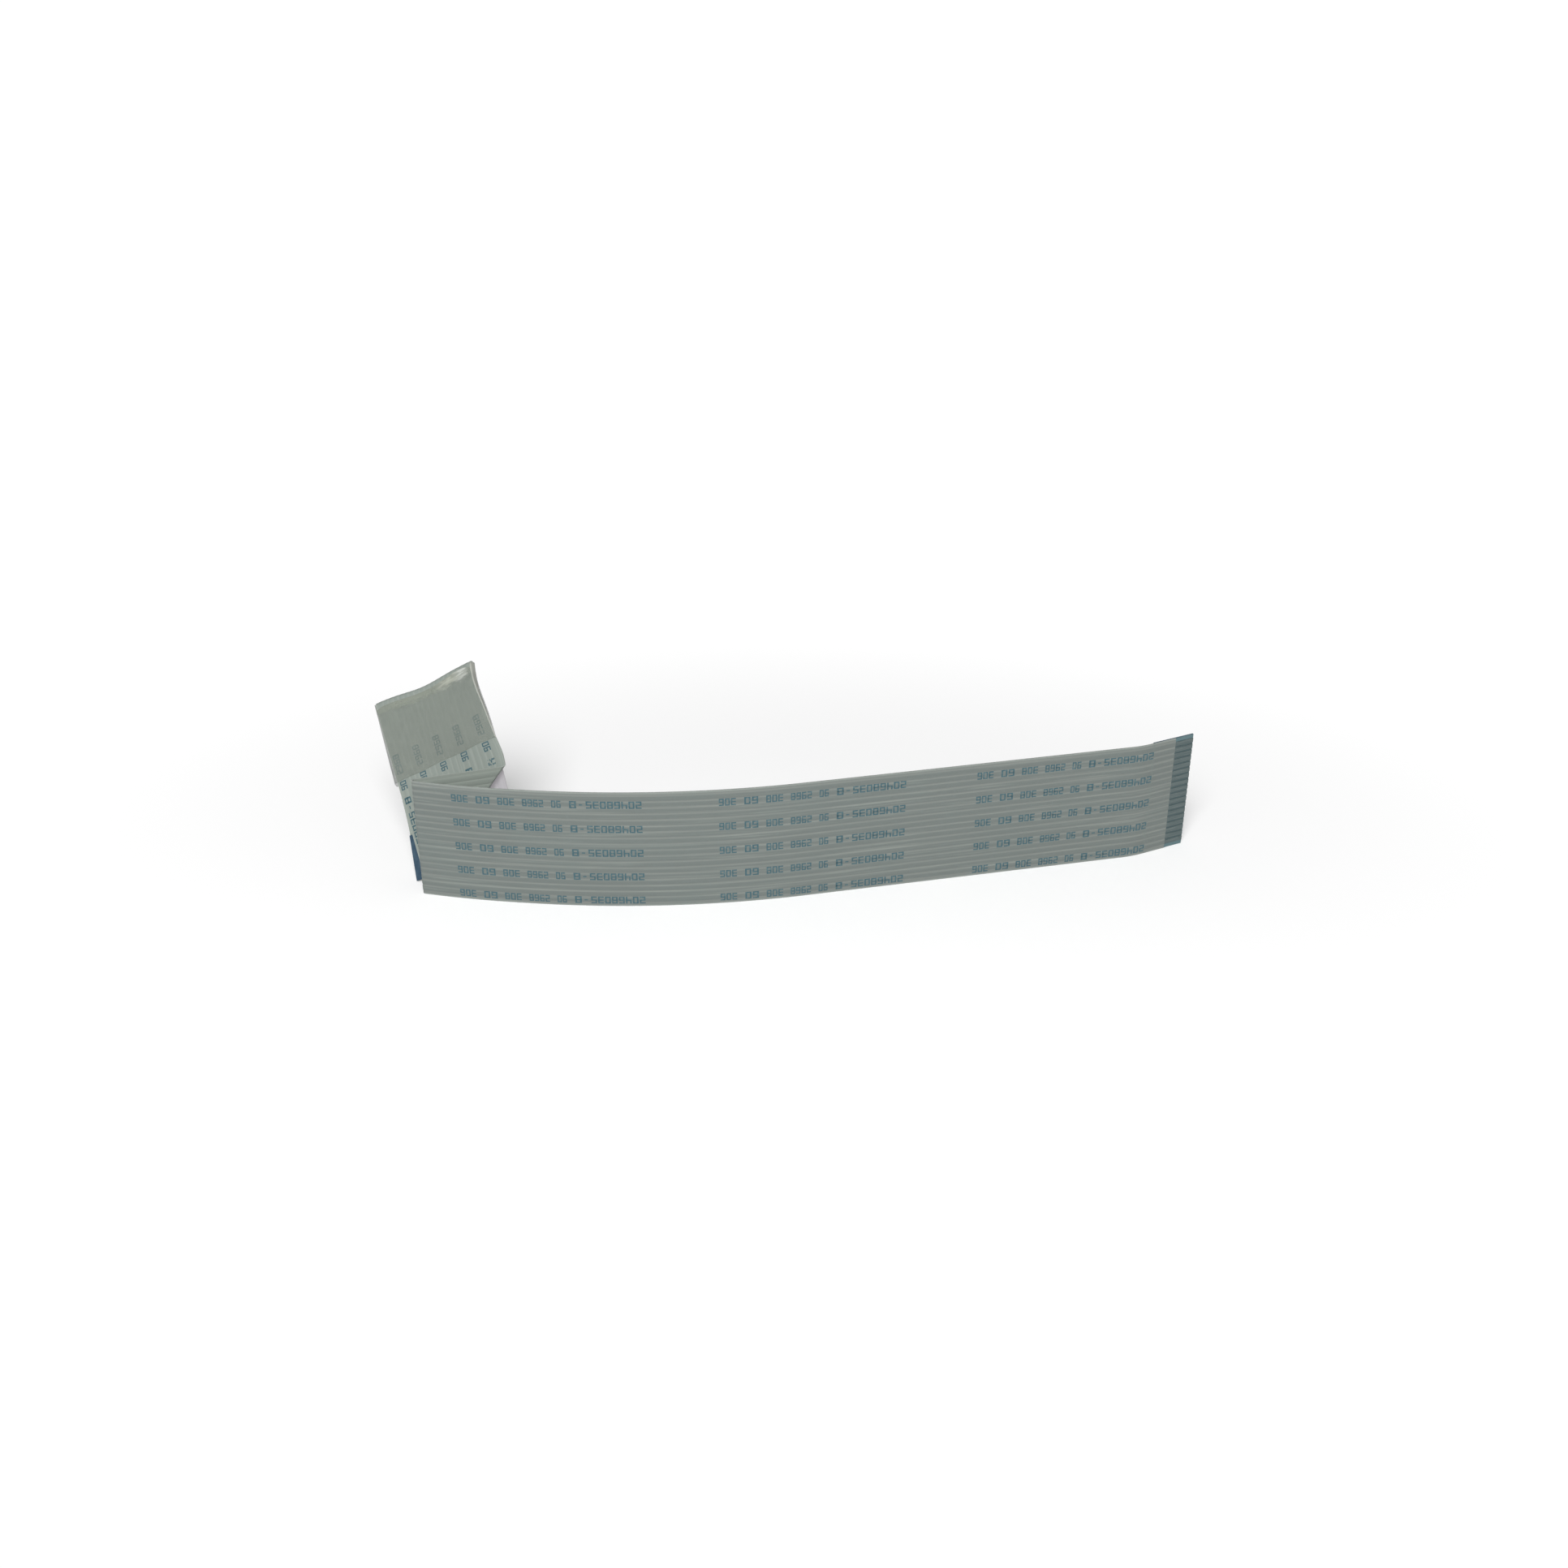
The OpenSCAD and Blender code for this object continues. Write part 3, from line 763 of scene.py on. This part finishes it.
def floor():
    """A wide pale floor. To the camera it glows a little near the object, so that it keeps the shadow, and
    wholly farther out, so that it reads white. The glow counts depth GLOW_DEPTH times as far as width."""
    points = np.array([(FLOOR_LEFT, FLOOR_NEAR, 0), (FLOOR_RIGHT, FLOOR_NEAR, 0),
                       (FLOOR_RIGHT, FLOOR_FAR, 0), (FLOOR_LEFT, FLOOR_FAR, 0)])
    ground = new_mesh("floor", points, np.array([[0, 1, 2, 3]]), smooth=False)
    f = Finish.material("floor_finish")
    seen = f.node("ShaderNodeLightPath", output="Is Camera Ray")
    where = f.node("ShaderNodeTexCoord", output="Object")
    away = f.node("ShaderNodeVectorMath", {"operation": "LENGTH"},
                  {0: f.stretched(where, (1.0, GLOW_DEPTH, 1.0))}, output="Value")
    glowing = seen * (GLOW_NEAR + f.smooth(away, GLOW_FROM, GLOW_TO) * (1 - GLOW_NEAR))
    matt = f.node("ShaderNodeBsdfDiffuse", None, {"Color": (FLOOR_TONE, FLOOR_TONE, FLOOR_TONE, 1)})
    glow = f.node("ShaderNodeEmission", None, {"Color": WHITE, "Strength": GLOW_STRENGTH})
    mixed = f.node("ShaderNodeMixShader", None, {0: glowing, 1: matt, 2: glow})
    f.node("ShaderNodeOutputMaterial", None, {"Surface": mixed})
    ground.data.materials.append(f.owner)


def lamp(name, at, aim, size, power):
    """A round lamp of that width and power, turned from where it stands to what it lights."""
    light = bpy.data.lights.new(name, "AREA")
    light.shape, light.size, light.energy = "DISK", size, power
    holder = bpy.data.objects.new(name, light)
    holder.location = at
    holder.rotation_euler = (Vector(aim) - Vector(at)).to_track_quat("-Z", "Y").to_euler()
    bpy.context.scene.collection.objects.link(holder)


def world():
    """White to the camera, and a plain soft fill on the object."""
    f = Finish(bpy.data.worlds.new("studio"))
    seen = f.node("ShaderNodeLightPath", output="Is Camera Ray")
    strength = f.node("ShaderNodeMix", None, {"Factor": seen, "A": FILL, "B": 1.0}, output="Result")
    background = f.node("ShaderNodeBackground", None, {"Color": WHITE, "Strength": strength})
    f.node("ShaderNodeOutputWorld", None, {"Surface": background})
    bpy.context.scene.world = f.owner


floor()
world()
lamp("key", KEY_AT, (0, 0, 0), KEY_SIZE, KEY_POWER)

# The camera fitted to the photo: its width and focal length in pixels, its place in metres and its tilt
PHOTO_W, FOCAL_PX = 1932, 2354
EYE_AT, TILT = (0.000286, -0.245937, 0.1530), 29.5
lens = bpy.data.cameras.new("camera")
lens.sensor_width = 36.0
lens.lens = FOCAL_PX / PHOTO_W * lens.sensor_width
lens.clip_start, lens.clip_end = 0.01, 20.0
eye = bpy.data.objects.new("camera", lens)
eye.location = EYE_AT
eye.rotation_euler = (np.radians(90 - TILT), 0, 0)
bpy.context.scene.collection.objects.link(eye)
bpy.context.scene.camera = eye

bpy.context.scene.view_settings.view_transform = "Standard"
